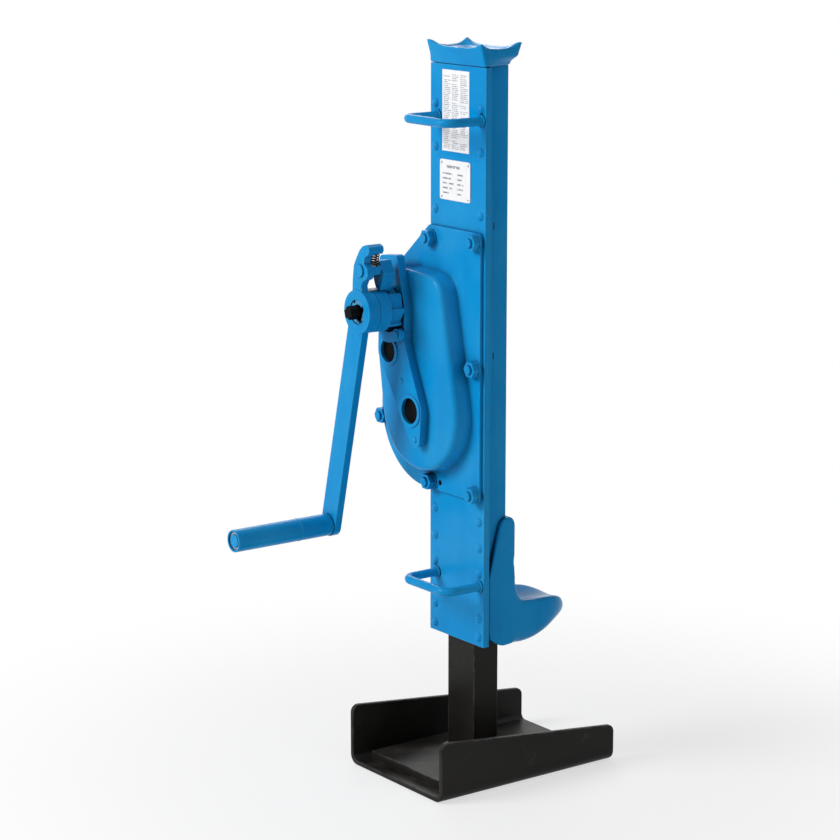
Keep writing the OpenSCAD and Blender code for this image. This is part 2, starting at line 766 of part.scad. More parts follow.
// Half angle of a gear tooth at radius r, for a tooth that is thick at the pitch circle
function gear_half(m, z, thick, r) = let (pitch = m * z / 2, base = pitch * cos(pressure_angle))
  thick / 2 / pitch * 180 / PI + inv(pressure_angle) - inv(acos(base / max(r, base)));
flank_steps = 8;
pinion_steps = 14;
sweep_steps = 100;
// Widest half angle at radius r that a pinion tooth can have beside the rack's teeth
function rack_pinion_half(r) = let (far = acos(min(1, (pinion_r + rack_shift - rack_addendum) / r))) min([
  for (i = [0:sweep_steps]) let (b = far * (2 * i / sweep_steps - 1))
    b - (r * sin(b) - rack_pitch / 4 + (r * cos(b) - pinion_r - rack_shift) * tan(pressure_angle))
    / pinion_r * 180 / PI
]) - backlash / 2 / r * 180 / PI;
// The same for a pinion of z1 teeth beside a gear of z2 teeth and tip radius ra
function pinion_half(m, z1, z2, ra, thick, r) = let (
  a = m * (z1 + z2) / 2, far = acos(max(-1, min(1, (a * a + r * r - ra * ra) / (2 * a * r))))
) min([
  for (i = [0:sweep_steps]) let (
    b = far * (2 * i / sweep_steps - 1), x = a - r * cos(b), y = r * sin(b)
  ) b - (atan2(y, x) - 180 / z2 + gear_half(m, z2, thick, norm([x, y]))) * z2 / z1
]) - backlash / 2 / r * 180 / PI;
// Outline of z teeth from lists of radii and half angles, with the first tooth at angle a0
function toothed(z, radii, halves, a0) = let (n = len(radii) - 1) [
  for (k = [0:z - 1]) let (a = a0 + 360 * k / z) each concat(
    [for (j = [0:n]) radii[j] * dir(a - halves[j])],
    [for (j = [n:-1:0]) radii[j] * dir(a + halves[j])],
    [radii[0] * dir(a + 180 / z)]
  )
];
function span(a, b, n) = [for (j = [0:n]) a + (b - a) * j / n];

module rack_pinion_teeth_2d() {
  radii = span(s3_gap - 0.8, pinion_tip, flank_steps);
  polygon(toothed(rack_pinion_teeth, radii, [for (r = radii) rack_pinion_half(r)], 0));
}

module pinion_2d(m, z1, z2, ra, tip, a0) {
  radii = span(m * (z1 + z2) / 2 - ra - m / 4, tip, pinion_steps);
  polygon(toothed(z1, radii, [for (r = radii) pinion_half(m, z1, z2, ra, gear_thick * PI * m, r)], a0));
}

module gear_2d(m, z1, z2, tip, mate_tip, a0) {
  radii = span(m * (z1 + z2) / 2 - mate_tip - m / 4, tip, flank_steps);
  polygon(toothed(z2, radii, [for (r = radii) gear_half(m, z2, gear_thick * PI * m, r)], a0));
}

// Distance from the rack pinion's axis to the rack's tooth tips
s3_gap = tooth_tip_x - s3[0];
journal_d = shaft_end_d - 2 * bore_play;
shaft_back_y = channel_back + 2.5;
// Middle of the main gear along Y, inside the dome
main_y = (plate_y + dome_y) / 2;
// Middle of the intermediate gear along Y, inside the case
intermediate_y = -5;
recess = 3;

module pinion_shaft() {
  half = rack_pinion_w / 2;
  color(black) {
    disc(s3, bore_3 / 2 - bore_play, bracket_y + recess, -half);
    translate([s3[0], 0, s3[1]]) plate(-half, half) rack_pinion_teeth_2d();
    disc(s3, journal_d / 2, half, shaft_back_y);
  }
}

module main_gear() {
  y0 = main_y - main_gear_w / 2;
  y1 = main_y + main_gear_w / 2;
  turn = dir_2 + 180 / main_gear_teeth;
  color("#5c6064") difference() {
    translate([s3[0], 0, s3[1]]) plate(y0, y1)
      gear_2d(module_2, pinion_2_teeth, main_gear_teeth, gear_tip_2, pinion_tip_2, turn);
    disc(s3, bore_3 / 2 - bore_play + fit, y0 - 1, y1 + 1);
  }
}

module intermediate_shaft() {
  y0 = main_y - main_gear_w / 2 - 1;
  y1 = main_y + main_gear_w / 2 + 1;
  color(black) {
    disc(s2, bore_2 / 2 - bore_play, bracket_y + recess, y0);
    translate([s2[0], 0, s2[1]]) plate(y0, y1)
      pinion_2d(module_2, pinion_2_teeth, main_gear_teeth, gear_tip_2, pinion_tip_2, dir_2 + 180);
    disc(s2, journal_d / 2 + 1, y1, intermediate_y + intermediate_gear_w / 2);
    disc(s2, journal_d / 2, intermediate_y + intermediate_gear_w / 2, shaft_back_y);
  }
}

module intermediate_gear() {
  y0 = intermediate_y - intermediate_gear_w / 2;
  y1 = intermediate_y + intermediate_gear_w / 2;
  color("#5c6064") difference() {
    translate([s2[0], 0, s2[1]]) plate(y0, y1)
      gear_2d(module_1, pinion_1_teeth, intermediate_gear_teeth, gear_tip_1, pinion_tip_1,
        dir_1 + 180 / intermediate_gear_teeth);
    disc(s2, journal_d / 2 + 1 + fit, y0 - 1, y1 + 1);
  }
}

// Frame of the crank, with its arm straight down from the axis
module at_crank() {
  translate([s1[0], 0, s1[1]]) rotate([0, crank_rest, 0]) children();
}

shaft_1_r = bore_1 / 2 - bore_play;
spindle_d = 16;
spindle_out = 12.3;
hub_recess_d = 28;
hub_floor_y = crank_y + 7.5;
shaft_nut_t = 6.3;
// Width of the spanner slots in the rim of the nut
nut_slot = 3.6;

module crank_shaft() {
  y0 = intermediate_y - intermediate_gear_w / 2 - 0.5;
  y1 = intermediate_y + intermediate_gear_w / 2 + 0.5;
  color(black) {
    disc(s1, journal_d / 2, y1, shaft_back_y);
    translate([s1[0], 0, s1[1]]) plate(y0, y1)
      pinion_2d(module_1, pinion_1_teeth, intermediate_gear_teeth, gear_tip_1, pinion_tip_1, dir_1 + 180);
    disc(s1, shaft_1_r, hub_floor_y, y0);
    at_crank() plate(crank_y - spindle_out, hub_floor_y + 1)
      polygon([for (i = [0:11]) spindle_d / 2 * (i % 2 == 0 ? 1 : 0.74) * dir(30 * i)]);
  }
}

module shaft_nut() {
  r = hub_recess_d / 2;
  front = hub_floor_y - shaft_nut_t;
  color("#8ec2e6") at_crank() difference() {
    disc([0, 0], r - run, front, hub_floor_y);
    disc([0, 0], spindle_d / 2 + fit, front - 1, hub_floor_y + 1);
    for (a = [45:90:315]) rotate([0, a, 0])
      box(r - 3, r, front - 1, hub_floor_y + 1, -nut_slot / 2, nut_slot / 2);
  }
}

// The arm runs down to the grip and up to a tongue that bends back over the pawl's spring
tongue_z = 70.5;
tongue_top = [[5, tongue_z], [6.3, 75], [4, 79], [-2, 79.8], [-7.5, 76.5], [-12, tongue_z]];
arm_top = concat(
  [[3, 24], [0, 31], [2, 38], [7.5, 42], [9.5, 48], [6, 54.5], [-1, 58], [-1, 65]], tongue_top,
  [[-16, 60], [-19, 49], [-17.3, 33], [-15, 20]]
);
tongue_back = 11;
drive_pivot = [-5.9, 47.7];
drive_pin_d = 8;

// Jaw of the hub that reaches into the jaw ring, grown by d
jaw_step = 5;
jaw_gap = 0.5;
jaw_turn = -38;
module jaw(d) {
  intersection() {
    disc([0, 0], hub_r + d, hub_y - 0.5, hub_y + jaw_step + d);
    plate(hub_y - 1, hub_y + jaw_step + 1 + d) rotate(jaw_turn)
      translate([-hub_r - 1, -d]) square([2 * hub_r + 2, hub_r + 2]);
  }
}

module crank_arm() {
  half = arm_w / 2;
  color(blue) at_crank() difference() {
    union() {
      disc([0, 0], hub_r, crank_y, hub_y);
      jaw(0);
      plate(arm_y, arm_back_y) {
        polygon(concat([[-half, 0]], arc([0, -crank_r], half, 180, 360, 16), [[half, 0]]));
        polygon(concat([[half, 0]], arm_top, [[-half, 0]]));
      }
      plate(arm_y, arm_back_y + tongue_back) polygon(tongue_top);
    }
    disc([0, 0], hub_recess_d / 2, crank_y - 1, hub_floor_y);
    disc([0, 0], shaft_1_r + fit, crank_y - 1, hub_y + jaw_step + 1);
    disc([0, -crank_r], axle_d / 2 + fit, arm_y - 1, arm_back_y + 1);
    disc(drive_pivot, drive_pin_d / 2 + fit, arm_y - 1, arm_back_y + 1);
  }
}

module jaw_ring() {
  color(blue) at_crank() difference() {
    disc([0, 0], hub_r, hub_y + jaw_gap, jaw_y);
    jaw(jaw_gap);
    disc([0, 0], shaft_1_r + fit, hub_y - 1, jaw_y + 1);
  }
}

// Teeth of the ratchet wheel, each with its steep face on the counterclockwise side
ratchet_root = hub_r - ratchet_depth;
ratchet_step = 360 / ratchet_teeth;
ratchet_phase = 65.4;

module ratchet_wheel() {
  step = ratchet_step;
  color(blue) at_crank() difference() {
    plate(ratchet_y - ratchet_len, ratchet_y) polygon([
      for (k = [0:ratchet_teeth - 1]) let (a = ratchet_phase + k * step) each concat(
        arc([0, 0], ratchet_root, a + 1.5, a + 12, 2), arc([0, 0], hub_r, a + step - 9, a + step, 3)
      )
    ]);
    disc([0, 0], shaft_1_r + fit, ratchet_y - ratchet_len - 1, ratchet_y + 1);
  }
}

// The drive pawl hangs on the arm and reaches the front half of the ratchet wheel
drive_nose_y = ratchet_y - 9.5;
// The spring sits on a lug that reaches from the pawl to the arm
drive_lug_y = drive_nose_y - 16;
spring_seat = 54.6;
drive_nose = [[8.6, 39], [5.6, 26], [4.4, 22.1], [2.8, 22.3], [-4, 28.9]];

module drive_pawl() {
  color(blue) at_crank() difference() {
    union() {
      plate(drive_lug_y, drive_nose_y) polygon(concat(
        [[-12.8, 41.3], [-16.2, 47.2], [-11, 56], [-3, 58.5], [8.7, 47]], drive_nose
      ));
      plate(arm_back_y + run, drive_lug_y + 1)
        polygon([[-12.5, 43], [-12, spring_seat], [4, spring_seat], [4, 45], [-3, 40.5], [-9, 40.5]]);
    }
    disc([0, 0], hub_r + 1, arm_back_y, ratchet_y - ratchet_len + 0.5);
    disc(drive_pivot, drive_pin_d / 2 + bore_play * 2, arm_back_y - 1, drive_nose_y + 1);
  }
}

module drive_pawl_pin() {
  color(black) at_crank() {
    disc(drive_pivot, drive_pin_d / 2, arm_y, drive_nose_y + 0.3);
    disc(drive_pivot, drive_pin_d / 2 + 3.2, arm_y - 2.5, arm_y);
  }
}

// Compression spring between the tongue and the drive pawl's shoulder
spring_at = [-2.5, arm_back_y + run + spring_d / 2 + 0.2];
spring_low = spring_seat + run;
spring_high = tongue_z;
curl_rings = 8;
tube_sides = 6;
spring_mid_r = (spring_d - spring_wire) / 2;
spring_rise = spring_high - spring_low - spring_wire;
coil_n = spring_turns * curl_rings;
function coil_point(i) = let (a = 360 * i / curl_rings)
  [spring_mid_r * cos(a), spring_mid_r * sin(a), spring_low + spring_wire / 2 + spring_rise * i / coil_n];
function coil_path() = let (a = coil_point(0), z = coil_point(coil_n)) concat(
  [[a[0], a[1] - spring_wire, a[2]]],
  [for (i = [0:coil_n]) coil_point(i)],
  [[z[0], z[1] + spring_wire, z[2]]]
);
function unit(v) = v / norm(v);
// Rings of a tube swept along a path, square to the path at each point
function tube_rings(path, r) = [for (i = [0:len(path) - 1]) let (
  t = unit(path[min(i + 1, len(path) - 1)] - path[max(i - 1, 0)]),
  u = unit(cross([0, 0, 1], t)), v = cross(t, u)
) [for (k = [0:tube_sides - 1]) let (a = 360 * k / tube_sides) path[i] + r * (cos(a) * u + sin(a) * v)]];
// Least distance between the tube's surface and itself one curl further on
function coil_gap() = let (p = [for (i = [0:coil_n]) coil_point(i)]) min([
  for (i = [0:coil_n - curl_rings]) for (j = [i + curl_rings - 2:coil_n]) norm(p[i] - p[j])
]) - spring_wire;

module pawl_spring() {
  color(black) at_crank() translate([spring_at[0], spring_at[1], 0])
    loft(tube_rings(coil_path(), spring_wire / 2));
}

grip_y0 = arm_y - grip_len;
grip_recess = 4;
rivet_out = 1.5;

module grip_axle() {
  color(black) at_crank() {
    disc([0, -crank_r], axle_d / 2, grip_y0 + 1, arm_back_y);
    disc([0, -crank_r], axle_d / 2 + 2.5, arm_back_y, arm_back_y + rivet_out);
  }
}

module grip_washer() {
  color("#8a8f94") at_crank() difference() {
    disc([0, -crank_r], grip_d / 2 - 3, grip_y0 + grip_recess - 2, grip_y0 + grip_recess - 0.2);
    disc([0, -crank_r], axle_d / 2 + fit, grip_y0, grip_y0 + grip_recess);
  }
}

module grip_sleeve() {
  color(blue) at_crank() difference() {
    disc([0, -crank_r], grip_d / 2, grip_y0, arm_y - run);
    disc([0, -crank_r], axle_d / 2 + bore_play, grip_y0 - 1, arm_y);
    disc([0, -crank_r], grip_d / 2 - 2.5, grip_y0 - 1, grip_y0 + grip_recess);
  }
}

// The stop pawl swings under the ratchet wheel on a pin of the bearing bracket
stop_pin_d = 6;
stop_pivot = s1 + [17.3, -28.5];
stop_boss = 7.2;
stop_y1 = ratchet_y - 0.7;
stop_y0 = stop_y1 - 6.5;
tip_gap = 0.4;

module stop_pawl() {
  color(blue) difference() {
    union() {
      disc(stop_pivot, stop_boss, stop_y0, stop_y1);
      translate([s1[0], 0, s1[1]]) plate(stop_y0, stop_y1) polygon(concat(
        arc([0, 0], hub_r + 2.2, -66, -108, 8),
        [(hub_r + tip_gap) * dir(-111), (hub_r + tip_gap) * dir(-117)],
        [(hub_r + 8) * dir(-117), (hub_r + 13) * dir(-104)],
        arc([0, 0], hub_r + 14, -96, -66, 5)
      ));
    }
    disc(stop_pivot, stop_pin_d / 2 + 2 * bore_play, stop_y0 - 1, stop_y1 + 1);
  }
}

module stop_pawl_pin() {
  color(black) {
    disc(stop_pivot, stop_pin_d / 2, stop_y0 - 0.2, dome_y);
    disc(stop_pivot, stop_pin_d / 2 + 2, stop_y1 + 0.2, bracket_y);
    disc(stop_pivot, stop_pin_d / 2 + 1.5, stop_y0 - 1.6, stop_y0 - 0.2);
  }
}

echo(spring_gap = coil_gap());  // pawl_spring
foot_channel();
foot_doubler();
rack();
weld_bead();
front_plate();
rack_channel();
lower_guide();
upper_guide();
thrust_plate();
gear_case();
gear_cover();
bearing_bracket();
bracket_pins();
rear_bushes();
cover_studs();
cover_washers();
cover_nuts();
plate_rivets();
head();
claw();
upper_handle();
lower_handle();
instruction_label();
rating_plate();
rating_plate_pins();
stop_pawl_pin();
stop_pawl();
pinion_shaft();
main_gear();
intermediate_shaft();
intermediate_gear();
crank_arm();
crank_shaft();
shaft_nut();
jaw_ring();
ratchet_wheel();
drive_pawl_pin();
drive_pawl();
pawl_spring();
grip_axle();
grip_washer();
grip_sleeve();
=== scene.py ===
"""Looks and stage for a rack and pinion track jack: paint, bare steel, welds, prints, camera and light."""
import contextlib
import functools
import json
import math

import bmesh
import bpy
from bpy.props import FloatProperty, FloatVectorProperty, IntProperty, PointerProperty
from mathutils import Matrix, Vector

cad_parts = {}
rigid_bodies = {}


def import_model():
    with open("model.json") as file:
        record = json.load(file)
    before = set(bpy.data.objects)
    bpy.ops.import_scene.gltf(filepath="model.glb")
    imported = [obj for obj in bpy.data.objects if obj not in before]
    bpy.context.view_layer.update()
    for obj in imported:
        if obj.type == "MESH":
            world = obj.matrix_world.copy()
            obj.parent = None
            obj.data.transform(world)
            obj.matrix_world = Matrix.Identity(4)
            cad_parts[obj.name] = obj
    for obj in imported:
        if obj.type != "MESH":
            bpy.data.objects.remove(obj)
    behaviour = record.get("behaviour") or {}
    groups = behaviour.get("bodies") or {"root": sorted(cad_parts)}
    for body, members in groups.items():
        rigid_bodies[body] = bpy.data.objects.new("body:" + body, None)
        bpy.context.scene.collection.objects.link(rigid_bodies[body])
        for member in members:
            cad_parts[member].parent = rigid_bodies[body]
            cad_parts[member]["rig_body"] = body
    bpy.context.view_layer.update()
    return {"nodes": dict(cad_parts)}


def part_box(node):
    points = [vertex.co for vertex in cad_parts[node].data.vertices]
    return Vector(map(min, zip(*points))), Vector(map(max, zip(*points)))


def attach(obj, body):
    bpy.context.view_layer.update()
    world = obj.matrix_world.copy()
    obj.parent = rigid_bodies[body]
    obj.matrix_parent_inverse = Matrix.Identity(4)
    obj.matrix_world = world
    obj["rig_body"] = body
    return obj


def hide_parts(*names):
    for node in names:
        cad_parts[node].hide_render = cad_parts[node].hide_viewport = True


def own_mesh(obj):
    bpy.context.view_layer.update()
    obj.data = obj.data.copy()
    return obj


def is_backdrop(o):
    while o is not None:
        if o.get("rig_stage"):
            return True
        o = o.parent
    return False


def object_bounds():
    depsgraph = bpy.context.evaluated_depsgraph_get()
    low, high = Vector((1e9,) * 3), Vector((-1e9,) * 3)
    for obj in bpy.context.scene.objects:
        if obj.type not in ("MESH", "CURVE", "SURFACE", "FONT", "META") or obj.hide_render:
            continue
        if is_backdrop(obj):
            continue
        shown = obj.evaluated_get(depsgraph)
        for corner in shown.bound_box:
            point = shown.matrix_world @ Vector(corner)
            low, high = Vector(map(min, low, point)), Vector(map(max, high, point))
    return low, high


bl_info = {
    "name": "Track Jack",
    "version": (1, 0, 0),
    "blender": (4, 5, 0),
    "location": "View3D > Sidebar > Track Jack",
    "description": "Dresses a rack and pinion track jack in paint, welds and prints, and sets its stage",
    "category": "Add Mesh",
}

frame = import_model()
NODES = frame["nodes"]
MM = 0.001


class TRACKJACK_PG_paint(bpy.types.PropertyGroup):
    """Colours and wear of the painted surfaces"""

    blue: FloatVectorProperty(
        name="Housing blue", description="Paint of the housing and the crank", subtype="COLOR",
        size=3, min=0, max=1, default=(0.0002, 0.262, 0.620),
    )
    black: FloatVectorProperty(
        name="Foot black", description="Paint of the foot and the rack", subtype="COLOR",
        size=3, min=0, max=1, default=(0.0068, 0.0060, 0.0051),
    )
    wear: FloatProperty(
        name="Wear", description="How much of the edges has lost its shine", subtype="FACTOR",
        min=0, max=1, default=0.5,
    )
    edge: FloatProperty(
        name="Edge rounding", description="Radius that paint leaves on the cut edges of the large pieces",
        unit="LENGTH", min=0.0001, max=0.003, default=0.0009,
    )


class TRACKJACK_PG_print(bpy.types.PropertyGroup):
    """Ruled lines on the two labels"""

    columns: IntProperty(
        name="Columns", description="Columns of the tall label", min=1, max=6, default=3,
    )
    line_pitch: FloatProperty(
        name="Line pitch", description="Distance between ruled lines on the tall label",
        unit="LENGTH", min=0.001, max=0.01, default=0.0021,
    )
    plate_pitch: FloatProperty(
        name="Plate line pitch", description="Distance between ruled lines on the rating plate",
        unit="LENGTH", min=0.002, max=0.02, default=0.0054,
    )
    ink: FloatVectorProperty(
        name="Ink", description="Colour of the ruled lines", subtype="COLOR",
        size=3, min=0, max=1, default=(0.10, 0.105, 0.115),
    )


class TRACKJACK_PG_stage(bpy.types.PropertyGroup):
    """Camera and light"""

    lens: FloatProperty(
        name="Lens", description="Focal length", unit="CAMERA", min=20, max=300, default=114.84,
    )
    place: FloatVectorProperty(
        name="Camera place", description="Where the camera stands", subtype="TRANSLATION",
        size=3, default=(2.36405, -1.82341, 1.06278),
    )
    turn: FloatProperty(
        name="Camera turn", description="Heading of the view, from +Y towards -X", subtype="ANGLE",
        default=math.radians(53.535),
    )
    tilt: FloatProperty(
        name="Camera tilt", description="How far the view looks down", subtype="ANGLE",
        default=math.radians(12.293),
    )
    sky: FloatProperty(
        name="Sky", description="Strength of the soft light all round", min=0, max=3, default=0.31,
    )
    key: FloatProperty(
        name="Key", description="Power of the large lamp at the front", unit="POWER",
        min=0, max=500, default=95,
    )


class Output:
    """An output of a node; sums, products and comparisons of these add Math nodes"""

    def __init__(self, tools, socket):
        self.tools = tools
        self.socket = socket

    def maths(self, operation, *others, clamp=False):
        return self.tools.maths(operation, self, *others, clamp=clamp)

    def __add__(self, other):
        return self.maths("ADD", other)

    def __sub__(self, other):
        return self.maths("SUBTRACT", other)

    def __rsub__(self, other):
        return self.tools.maths("SUBTRACT", other, self)

    def __mul__(self, other):
        return self.maths("MULTIPLY", other)

    def __truediv__(self, other):
        return self.maths("DIVIDE", other)

    def __rtruediv__(self, other):
        return self.tools.maths("DIVIDE", other, self)

    def __gt__(self, other):
        return self.maths("GREATER_THAN", other)

    def __lt__(self, other):
        return self.maths("LESS_THAN", other)

    __radd__ = __add__
    __rmul__ = __mul__

    def part(self):
        return self.maths("FRACT")

    def whole(self):
        return self.maths("FLOOR")

    def most(self, other):
        return self.maths("MAXIMUM", other)

    def clamped(self):
        return self.maths("ADD", 0.0, clamp=True)

    def ramp(self, low, high):
        """0 below low, 1 above high, smooth between them"""
        return self.tools.node(
            "ShaderNodeMapRange", {"interpolation_type": "SMOOTHSTEP"},
            {"Value": self, "From Min": low, "From Max": high},
        )


class NodeTools:
    """Adds nodes to one tree"""

    # Sockets of a Mix node that mixes colours
    FACTOR, COLOUR_A, COLOUR_B, MIXED = 0, 6, 7, 2

    def __init__(self, tree):
        self.tree = tree

    def add(self, kind, settings, inputs):
        """A new node: its settings first, then the values or links of its sockets"""
        made = self.tree.nodes.new(kind)
        for name, value in settings.items():
            setattr(made, name, value)
        for name, value in inputs.items():
            self.feed(made.inputs[name], value)
        return made

    def node(self, kind, settings, inputs, output=0):
        """The chosen output of a new node"""
        return Output(self, self.add(kind, settings, inputs).outputs[output])

    def feed(self, socket, value):
        """Links a socket to an output, or sets it"""
        if isinstance(value, Output):
            self.tree.links.new(value.socket, socket)
        elif socket.type == "RGBA":
            socket.default_value = (*value[:3], 1)
        else:
            socket.default_value = value

    def maths(self, operation, *values, clamp=False):
        settings = {"operation": operation, "use_clamp": clamp}
        return self.node("ShaderNodeMath", settings, dict(enumerate(values)))

    def mix(self, factor, a, b):
        """Colour between a and b"""
        sockets = {self.FACTOR: factor, self.COLOUR_A: a, self.COLOUR_B: b}
        return self.node("ShaderNodeMix", {"data_type": "RGBA"}, sockets, self.MIXED)

    def layered(self, colour, *layers):
        """Colour under layers of paint or dirt, each with how much it covers and its tint"""
        for cover, tint in layers:
            colour = self.mix(cover, colour, tint)
        return colour

    def mix_shaders(self, factor, a, b):
        return self.node("ShaderNodeMixShader", {}, {0: factor, 1: a, 2: b})

    def glow(self, kind, strength):
        """White light, from a Background or Emission node"""
        return self.node(kind, {}, {"Color": (1, 1, 1), "Strength": strength})

    def seen(self):
        """1 for rays from the camera, by way of shine or glass too"""
        straight, shine, glass = (
            self.node("ShaderNodeLightPath", {}, {}, f"Is {kind} Ray")
            for kind in ("Camera", "Glossy", "Transmission")
        )
        return straight.most(shine).most(glass)

    def show(self, shader, kind):
        """Links a shader to the tree's output, which is added where there is none"""
        found = [node for node in self.tree.nodes if node.bl_idname == kind]
        out = found[0] if found else self.add(kind, {}, {})
        self.feed(out.inputs["Surface"], shader)

    def place(self):
        return self.node("ShaderNodeTexCoord", {}, {}, "Object")

    def axes(self):
        """X, Y and Z of the place on the object"""
        split = self.add("ShaderNodeSeparateXYZ", {}, {"Vector": self.place()})
        return [Output(self, socket) for socket in split.outputs]

    def stretched(self, x, y, z):
        """Place on the object, stretched where a factor is under 1"""
        return self.node("ShaderNodeVectorMath", {"operation": "MULTIPLY"}, {0: self.place(), 1: (x, y, z)})

    def cell(self, *axes):
        """One vector from separate numbers"""
        return self.node("ShaderNodeCombineXYZ", {}, dict(enumerate(axes)))

    def draw(self, dimensions, **where):
        """A number from 0 to 1 by chance for each cell"""
        return self.node("ShaderNodeTexWhiteNoise", {"noise_dimensions": dimensions}, where)

    def noise(self, scale, detail=3.0, rough=0.55, at=None):
        return self.node("ShaderNodeTexNoise", {}, {
            "Vector": at or self.place(), "Scale": scale, "Detail": detail, "Roughness": rough,
        })

    def normal(self):
        return self.node("ShaderNodeNewGeometry", {}, {}, "Normal")

    def edges(self, radius):
        """1 on outer edges and in corners, 0 on flat stretches"""
        bent = self.node("ShaderNodeBevel", {"samples": 4}, {"Radius": radius})
        same = {0: bent, 1: self.normal()}
        return 1.0 - self.node("ShaderNodeVectorMath", {"operation": "DOT_PRODUCT"}, same, "Value")

    def facing_up(self):
        """1 on level upper faces, 0 on upright ones"""
        return self.node("ShaderNodeSeparateXYZ", {}, {"Vector": self.normal()}, "Z")

    def crevices(self, reach):
        """1 deep in gaps and corners, 0 in the open"""
        return 1.0 - self.node("ShaderNodeAmbientOcclusion", {"samples": 8}, {"Distance": reach}, "AO")

    def bump(self, height, strength, distance):
        return self.node("ShaderNodeBump", {}, {
            "Height": height, "Strength": strength, "Distance": distance,
        })


class Finish(NodeTools):
    """One material round a Principled shader"""

    def __init__(self, name):
        self.material = bpy.data.materials.new(name)
        self.material.use_nodes = True
        super().__init__(self.material.node_tree)
        self.shader = self.tree.nodes["Principled BSDF"]

    def set(self, **inputs):
        for name, value in inputs.items():
            self.feed(self.shader.inputs[name.replace("_", " ")], value)
        return self.material


def mixed(a, b, share):
    """Colour between two that are the same all over"""
    return tuple(x + (y - x) * share for x, y in zip(a, b))


def blue_paint():
    """Semi-gloss blue enamel with faint dust, uneven gloss, rubbed edges, thin paint and a painted
    highlight on every edge, and painted shade in gaps and hollows
    """
    props = bpy.context.scene.track_jack_paint
    blue = tuple(props.blue)
    pale = mixed(blue, (0.030, 0.35, 0.66), 0.8)
    deep = mixed(blue, (0.0, 0.10, 0.30), 0.6)
    dusty = mixed(blue, (0.5, 0.56, 0.62), 0.25)
    # Lighter, more cyan blue for the edges: thin paint there, and a painted highlight
    thin_paint_and_edge_highlight = (0.10, 0.40, 0.66)
    scraped = (0.07, 0.12, 0.17)
    # Deep blue of the painted shade in gaps and hollows
    painted_shade_colour = (0.0, 0.012, 0.035)

    made = Finish("blue_enamel")
    cloud = made.noise(9, 4).ramp(0.32, 0.72)
    streak = made.noise(5, 3, at=made.stretched(9, 9, 0.8)).ramp(0.45, 0.8)
    speck = made.noise(420, 1).ramp(0.70, 0.78)
    rim = (made.edges(2.2 * MM) * 5.0).clamped()
    rubbed = (rim * made.noise(75, 4).ramp(0.50, 0.66) * props.wear).clamped()
    # Painted shade from ambient occlusion: broad hollows within 22 mm, narrow seams within 2.6 mm
    painted_hollow_shade = made.crevices(22 * MM).ramp(0.16, 0.9)
    painted_seam_shade = made.crevices(2.6 * MM).ramp(0.34, 0.66)
    return made.set(
        Base_Color=made.layered(
            blue,
            (cloud * 0.6, pale),
            (streak * 0.22, deep),
            (speck * 0.3, dusty),
            # Painted highlight and thin paint: every edge a quarter of the way to the lighter blue
            (rim * 0.25, thin_paint_and_edge_highlight),
            (rubbed * 0.6, scraped),
            # Painted shade darkens hollows and seams towards deep blue
            (painted_hollow_shade.most(painted_seam_shade), painted_shade_colour),
        ),
        Roughness=0.16 + cloud * 0.10 + streak * 0.08 + rubbed * 0.2,
        Normal=made.bump(made.noise(160, 2) * 0.6 + made.noise(55, 2) * 0.5, 0.16, 0.4 * MM),
        Specular_IOR_Level=0.07,
    )


def black_paint():
    """Thin black paint over hot-rolled plate, greyed with dust on its upper faces"""
    props = bpy.context.scene.track_jack_paint
    greyer = (0.018, 0.017, 0.0155)
    scuffed = (0.050, 0.046, 0.041)
    dusty = (0.070, 0.066, 0.061)
    scraped = (0.17, 0.165, 0.155)

    made = Finish("black_enamel")
    cloud = made.noise(14, 5).ramp(0.35, 0.75)
    scuff = made.noise(38, 5, 0.7).ramp(0.60, 0.74)
    rim = (made.edges(2.4 * MM) * 6.0).clamped()
    rubbed = (rim * made.noise(60, 4).ramp(0.40, 0.60) * props.wear * 1.6).clamped()
    dust = made.facing_up().ramp(0.75, 1.0) * made.noise(22, 5).ramp(0.35, 0.75)
    return made.set(
        Base_Color=made.layered(
            tuple(props.black),
            (cloud * 0.6, greyer),
            (scuff * 0.4, scuffed),
            (dust * 0.55, dusty),
            (rubbed * 0.85, scraped),
        ),
        Roughness=0.38 + cloud * 0.14 + scuff * 0.14,
        Normal=made.bump(made.noise(110, 3) + made.noise(26, 3) * 0.8, 0.26, 0.5 * MM),
        Specular_IOR_Level=0.14,
    )


def light_paint():
    """Thin light-blue overspray with darker speckle where the steel shows through"""
    made = Finish("light_blue_overspray")
    cloud = made.noise(70, 4).ramp(0.35, 0.7)
    bare = made.noise(210, 3, 0.7).ramp(0.60, 0.72)
    return made.set(
        Base_Color=made.layered(
            (0.06, 0.31, 0.57),
            (cloud * 0.6, (0.03, 0.25, 0.52)),
            (bare * 0.5, (0.05, 0.12, 0.20)),
        ),
        Roughness=0.42 + cloud * 0.12,
        Normal=made.bump(made.noise(180, 3), 0.2, 0.3 * MM),
        Specular_IOR_Level=0.3,
    )


def weld_scale():
    """Thin black paint over a weld's scale, greyer in random spots that are partly the scale and partly a
    painted highlight on the bead
    """
    made = Finish("weld_scale")
    scale_and_highlight_spots = made.noise(160, 4, 0.7).ramp(0.45, 0.7)
    return made.set(
        # The grey spots paint in part the light-grey highlights of the bead
        Base_Color=made.mix(scale_and_highlight_spots * 0.8, (0.016, 0.0155, 0.015), (0.085, 0.083, 0.08)),
        Roughness=0.32 + scale_and_highlight_spots * 0.2,
        Normal=made.bump(made.noise(240, 3), 0.3, 0.4 * MM),
        Specular_IOR_Level=0.5,
    )


